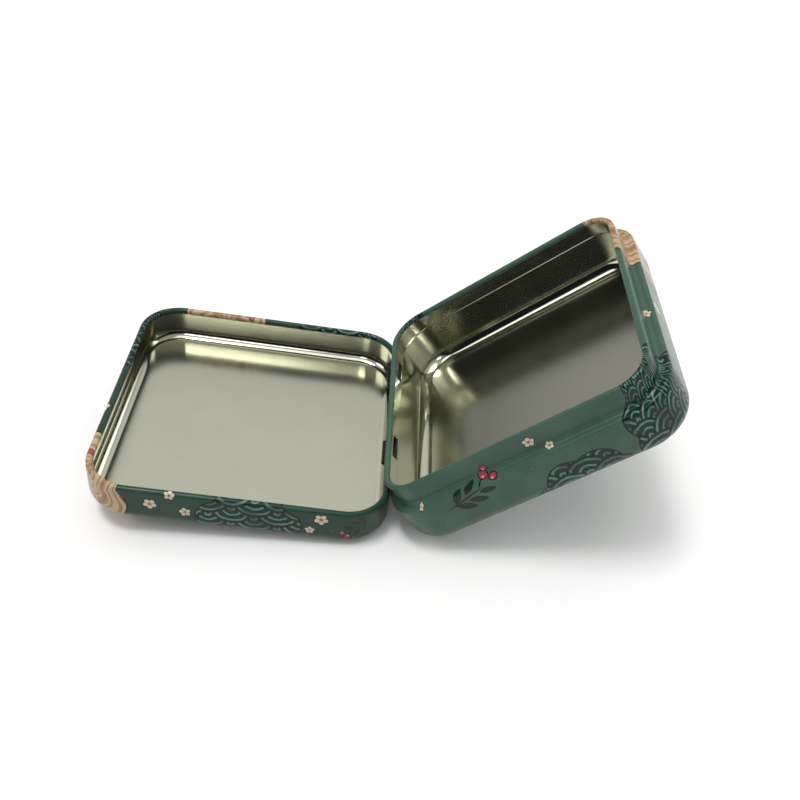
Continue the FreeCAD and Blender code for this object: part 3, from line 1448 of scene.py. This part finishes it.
@dataclass(frozen=True)
class PrintedTinplate:
    """The printed and varnished outside: waves, sandy fields, blossoms and sprigs on sage."""

    name: str
    waves: tuple[Zone, ...]
    sands: tuple[Zone, ...]
    blossoms: tuple[Blossom, ...]
    sprigs: tuple[Sprig, ...]
    ground: Colour = srgb(72, 102, 86)
    deep: Colour = srgb(16, 44, 44)
    shallow: Colour = srgb(98, 142, 120)
    sand: Colour = srgb(196, 172, 136)
    streak: Colour = srgb(140, 102, 72)
    blush: Colour = srgb(160, 78, 64)
    cream: Colour = srgb(212, 206, 178)
    leaf: Colour = srgb(34, 50, 38)
    ink: Colour = srgb(14, 22, 20)
    berry: Colour = srgb(176, 62, 88)
    dust: Colour = (0.5, 0.5, 0.45)
    dust_density: float = 0.08
    dust_roughness: float = 0.3
    scale_size: float = 4.6
    ripple_spacing: float = 2.4
    ripple_stir: float = 3.5
    bump: float = 0.12

    def build(self, effects: Effects) -> bpy.types.Material:
        """Make the material.

        Args:
            effects: The shared node groups.

        Returns:
            The material.
        """
        material, s, shader = new_material(self.name)
        place = s.flat_place()
        cloud = s.noise(place, 0.16, 3.0)
        canvas = Canvas(s, effects, place, self.ground)
        canvas.lay(s.ramp(cloud, 0.3, 0.75), dimmed(self.ground, 0.8))
        self.draw_sands(canvas)
        self.draw_waves(canvas)
        self.draw_blossoms(canvas)
        self.draw_sprigs(canvas)
        dots = s.noise(place, 7.0, 1.0)
        canvas.lay(s.math("MULTIPLY", s.ramp(dots, 0.5, 0.8), 0.12), self.ink)
        speck = s.call(effects.specks, Place=place, Density=self.dust_density).outputs[0]
        canvas.lay(speck, self.dust)
        rough = s.math("MULTIPLY_ADD", cloud, 0.12, 0.22)
        s.fill(shader, {
            "Base Color": canvas.colour,
            "Roughness": s.math("ADD", rough, s.math("MULTIPLY", speck, self.dust_roughness)),
            "Specular IOR Level": 0.22,
            "Coat Weight": 0.06,
            "Coat Roughness": 0.1,
            "Normal": s.bump(s.noise(place, 1.6, 2.0), self.bump),
        })
        return material

    def draw_waves(self, canvas: Canvas) -> None:
        """Lay the dark fields of ringed scales.

        Args:
            canvas: The print so far.
        """
        s, place = canvas.sketch, canvas.place
        wobble = s.fill(s.node("ShaderNodeTexNoise"), {"Vector": place, "Scale": 0.35})
        drawn = s.vector("ADD", place, s.scale(wobble.outputs["Color"], 0.9))
        scales = s.call(canvas.effects.scales, Place=drawn, Size=self.scale_size)
        depth = s.ramp(s.noise(place, 0.22, 1.0), 0.4, 0.6)
        light = s.mix(depth, self.shallow, dimmed(self.shallow, 0.5))
        tone = s.mix(scales.outputs["Ring"], self.deep, light)
        tone = s.mix(scales.outputs["Rim"], tone, self.ink)
        for zone in self.waves:
            canvas.lay_all(canvas.area(zone), {"Mask": tone, "Edge": self.ink})

    def draw_sands(self, canvas: Canvas) -> None:
        """Lay the sandy fields with their brown and blush streaks.

        Args:
            canvas: The print so far.
        """
        s, place = canvas.sketch, canvas.place
        for zone in self.sands:
            area = canvas.area(zone)
            flow = s.call(canvas.effects.flow, Place=place, Depth=area.outputs["Depth"],
                          Spacing=self.ripple_spacing, Stir=self.ripple_stir)
            line, broad = flow.outputs
            tone = s.mix(s.math("MULTIPLY", broad, 0.6), self.sand, self.streak)
            blush = s.ramp(s.noise(place, 0.11, 1.0), 0.5, 0.54)
            tone = s.mix(s.math("MULTIPLY", blush, broad), tone, self.blush)
            tone = s.mix(s.math("MULTIPLY", line, 0.75), tone, self.streak)
            canvas.lay_all(area, {"Mask": tone, "Edge": self.ink})

    def draw_blossoms(self, canvas: Canvas) -> None:
        """Lay the cream blossoms.

        Args:
            canvas: The print so far.
        """
        local = canvas.motif_place(self.blossoms, 9.0, (0.0, 0.0, 0.0), 1.2)
        drawn = canvas.sketch.call(canvas.effects.blossom, Place=local)
        canvas.lay_all(drawn, {"Petal": self.cream, "Line": self.ink, "Heart": self.blush})

    def draw_sprigs(self, canvas: Canvas) -> None:
        """Lay the sprigs.

        Args:
            canvas: The print so far.
        """
        s = canvas.sketch
        local = canvas.motif_place(self.sprigs, 90.0, (4.8, -0.3, 0.0), 6.2)
        drawn = s.call(canvas.effects.sprig, Place=local)
        canvas.lay_all(drawn, {"Leaf": self.leaf, "Berry": self.berry, "Line": self.ink})
        canvas.lay(s.math("MULTIPLY", drawn.outputs["Shine"], 0.7), self.cream)


LID_PRINT = PrintedTinplate(
    "printed_lid",
    waves=(Zone(3.0, -31.0, 10.0, 1.2, 4.0), Zone(-37.0, 20.0, 13.0), Zone(18.0, 40.0, 12.0)),
    sands=(Zone(-36.0, -31.0, 14.0, 1.4, 6.0), Zone(-12.0, 42.0, 9.0, 1.0, 6.0)),
    blossoms=(Blossom(-16.5, -35.4, 0.3), Blossom(-12.6, -38.4, 1.1, 1.2), Blossom(-9.6, -34.2, 0.7, 1.3),
              Blossom(17.5, -36.6, 0.2, 1.6), Blossom(15.4, -33.2, 0.9, 1.1), Blossom(-38.0, -8.0, 0.4),
              Blossom(-36.0, -3.0, 0.8, 1.2), Blossom(17.0, 14.0, 0.2, 2.6), Blossom(21.5, 8.6, 0.9, 2.0)),
    sprigs=(Sprig(31.0, -35.0, 3.0, 0.95), Sprig(-4.0, -16.0, 0.9, 1.6), Sprig(10.0, 2.0, 2.2, 1.7),
            Sprig(-24.0, 4.0, 0.4, 1.4), Sprig(12.0, -22.0, -0.3, 1.4), Sprig(2.0, 36.0, 3.0, 0.9)),
    ground=srgb(42, 73, 57),
)

BASE_PRINT = PrintedTinplate(
    "printed_base",
    waves=(Zone(-37.0, 35.0, 16.0), Zone(-9.0, 25.0, 11.0, 1.4, 4.0), Zone(30.0, -40.0, 12.0)),
    sands=(Zone(-40.0, -32.0, 20.0, 1.4, 6.0),),
    blossoms=(Blossom(-3.0, 44.6, 0.5, 1.3), Blossom(-6.0, 42.0, 0.1, 1.0), Blossom(24.0, 41.0, 0.4, 1.2),
              Blossom(-38.0, 2.0, 0.4, 1.7), Blossom(-42.0, 6.0, 1.0, 1.2), Blossom(4.0, -44.0, 0.3, 1.3)),
    sprigs=(Sprig(18.0, 37.5, 2.9, 1.25), Sprig(-38.0, -4.0, -1.2, 1.0), Sprig(2.0, -8.0, 0.9, 1.8),
            Sprig(-14.0, 4.0, 2.4, 1.5), Sprig(18.0, 10.0, -0.8, 1.5), Sprig(-12.0, -40.0, 0.2, 1.1)),
)


# ---- Studio --------------------------------------------------------------------------------


@dataclass(frozen=True)
class Camera:
    """The view of the open tin from in front and above."""

    eye: Vector
    bearing: float
    fall: float
    roll: float
    lens: float
    shift: tuple[float, float]

    def build(self) -> None:
        """Create the camera and make it the scene's."""
        data = bpy.data.cameras.new("camera")
        data.sensor_width = 36.0
        data.lens = self.lens
        data.shift_x, data.shift_y = self.shift
        data.clip_start = 0.005
        data.clip_end = 20.0
        camera = linked("camera", data)
        gaze = Matrix.Rotation(-self.bearing, 4, "Z") @ Matrix.Rotation(math.pi / 2 - self.fall, 4, "X")
        camera.matrix_world = Matrix.Translation(self.eye) @ gaze @ Matrix.Rotation(self.roll, 4, "Z")
        bpy.context.scene.camera = camera


@dataclass(frozen=True)
class Softbox:
    """A rectangular soft light that points at the tin."""

    name: str
    place: Vector
    size: tuple[float, float]
    radiance: float

    def build(self) -> None:
        """Create the light."""
        data = bpy.data.lights.new(self.name, "AREA")
        data.shape = "RECTANGLE"
        data.size, data.size_y = self.size
        data.energy = self.radiance * math.pi * self.size[0] * self.size[1]
        light = linked(self.name, data)
        light.location = self.place
        light.rotation_euler = (-self.place).to_track_quat("-Z", "Y").to_euler()


def mirrored_ray(path: bpy.types.Node, s: Sketch) -> Socket:
    """1 for a ray that a polished or a clear surface has sent on."""
    return s.math("MAXIMUM", path.outputs["Is Glossy Ray"], path.outputs["Is Transmission Ray"])


@dataclass(frozen=True)
class Floor:
    """A matt pale floor that looks white to the eye and still takes the tin's shadow.

    Its glow is painted light: the camera and the metal see it, but it lights nothing. It is least under
    the tin, so the floor where the tin's shadow falls is painted darker than further off. It rises over
    near_reach and again over far_reach, both in metres from the tin's middle, and there it paints out the
    dimming of the lamps' light with distance.
    """

    size: float = 12.0
    colour: Colour = (0.98, 0.98, 0.97)
    # painted light: strengths of a glow that is weakest near the tin, where its shadow falls, and
    # strongest far off
    least_painted_glow: float = 0.04
    near_painted_glow: float = 0.2
    near_reach: tuple[float, float] = (0.05, 0.16)
    far_painted_glow: float = 0.7
    far_reach: tuple[float, float] = (0.35, 1.2)

    def build(self) -> None:
        """Create the floor."""
        mesh = bmesh.new()
        bmesh.ops.create_grid(mesh, x_segments=1, y_segments=1, size=self.size / 2)
        data = bpy.data.meshes.new("floor")
        mesh.to_mesh(data)
        mesh.free()
        floor = linked("floor", data)
        material, s, shader = new_material("pale_floor")
        path = s.node("ShaderNodeLightPath")
        seen = s.math("MAXIMUM", path.outputs["Is Camera Ray"], mirrored_ray(path, s))
        away = s.vector("LENGTH", s.node("ShaderNodeTexCoord").outputs["Object"])
        # painted light: a seen-only glow graded by distance from the tin, weakest where its shadow lies,
        # so the shade there is kept dark
        painted_glow = s.math("MULTIPLY_ADD", s.ramp(away, *self.near_reach), self.near_painted_glow, self.least_painted_glow)
        painted_glow = s.math("MULTIPLY_ADD", s.ramp(away, *self.far_reach), self.far_painted_glow, painted_glow)
        s.fill(shader, {"Base Color": rgba(self.colour), "Emission Color": rgba(WHITE),
                        "Emission Strength": s.math("MULTIPLY", seen, painted_glow),
                        "Roughness": 0.6, "Specular IOR Level": 0.2})
        data.materials.append(material)
        floor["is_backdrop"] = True


@dataclass(frozen=True)
class Glow:
    """A round bright patch of the room, seen in the metal."""

    towards: Vector
    reach: float
    radiance: float
    soft_edge: float = 2.0

    def add(self, s: Sketch, sky: Socket, level: Value) -> Socket:
        """Add the patch to the room's light.

        Args:
            s: Sketch of the world.
            sky: The way that is looked.
            level: The room's light so far.

        Returns:
            The light with the patch in it.
        """
        nearness = s.vector("DOT_PRODUCT", sky, self.towards.normalized())
        outer = math.cos(math.radians(self.reach + self.soft_edge))
        inner = math.cos(math.radians(self.reach - self.soft_edge))
        return s.math("MULTIPLY_ADD", s.ramp(nearness, outer, inner), self.radiance, level)


@dataclass(frozen=True)
class Room:
    """The light of a room round the tin: pale behind it, darker in front and low down."""

    dim: float = 0.01
    behind: float = 0.42
    upper: float = 0.42
    ceiling: float = 1.1
    glows: tuple[Glow, ...] = (
        Glow(Vector((-0.72, -0.18, 0.69)), 12.0, 2.2),
        Glow(Vector((0.75, 0.45, 0.48)), 20.0, 1.7),
        Glow(Vector((-0.15, -0.905, 0.765)), 8.0, 1.0),
    )

    def build(self) -> None:
        """Light the room, with a plain white backdrop behind what is seen."""
        world = bpy.data.worlds.new("room")
        bpy.context.scene.world = world
        world.use_nodes = True
        s = Sketch(world.node_tree)
        sky = s.node("ShaderNodeTexCoord").outputs["Generated"]
        x, y, z = s.split(sky)
        behind = s.math("MULTIPLY", s.ramp(y, 0.3, 0.75), s.ramp(z, 0.1, 0.34))
        wall = s.math("MULTIPLY_ADD", behind, self.behind, self.dim)
        level = s.math("MULTIPLY_ADD", s.ramp(z, 0.5, 0.72), self.upper, wall)
        overhead = s.ramp(s.math("ABSOLUTE", x), 0.3, 0.2)
        ceiling = s.math("MULTIPLY", s.ramp(z, 0.82, 0.92), overhead)
        level = s.math("MULTIPLY_ADD", ceiling, self.ceiling, level)
        for glow in self.glows:
            level = glow.add(s, sky, level)
        path = s.node("ShaderNodeLightPath")
        low_mirrored = s.math("MULTIPLY", mirrored_ray(path, s), s.ramp(z, 0.05, 0.0))
        shown = s.math("MAXIMUM", path.outputs["Is Camera Ray"], low_mirrored)
        background = world.node_tree.nodes["Background"]
        s.fill(background, {"Color": s.mix(shown, level, WHITE), "Strength": 1.0})


SOFTBOXES = (
    Softbox("overhead", Vector((-0.2, -0.06, 0.97)), (0.30, 0.22), 18.5),
    Softbox("front", Vector((-0.150, -0.885, 0.845)), (0.30, 0.06), 9.5),
)
CAMERA = Camera(eye=Vector((0.00232, -0.14752, 0.13959)), bearing=math.radians(2.205),
                fall=math.radians(44.02), roll=math.radians(5.52), lens=39.39, shift=(-0.0096, 0.0703))


def corners(box: Iterable[Iterable[float]]) -> list[list[float]]:
    """A box as plain lists of numbers."""
    return [[float(value) for value in corner] for corner in box]


def main() -> None:
    """Build the open tin round the frame, then the studio."""
    logging.basicConfig(level=logging.INFO, format="%(name)s: %(message)s")
    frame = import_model()
    cad_box = corners(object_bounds())
    bpy.context.scene.view_settings.view_transform = "Standard"

    sizes = TinSizes()
    stance = Stance.from_frame(sizes, frame)
    effects = Effects()
    cut = CutEdge("cut_edge").build(effects)
    bare = BareTinplate("bare_tinplate").build(effects)

    lid = Lid(sizes).build(stance.lid(), (LID_PRINT.build(effects), bare, cut))
    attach(lid, "lid")
    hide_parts("lid")
    LOG.info("lid: %d faces", len(lid.data.polygons))

    base = Base(sizes).build(stance.base(), (BASE_PRINT.build(effects), bare, cut))
    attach(base, "base")
    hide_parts("base")
    LOG.info("base: %d faces", len(base.data.polygons))

    for item in (CAMERA, Floor(), Room(), *SOFTBOXES):
        item.build()
    {"cad": cad_box, "visual": corners(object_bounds())}


if __name__ == "__main__":
    main()
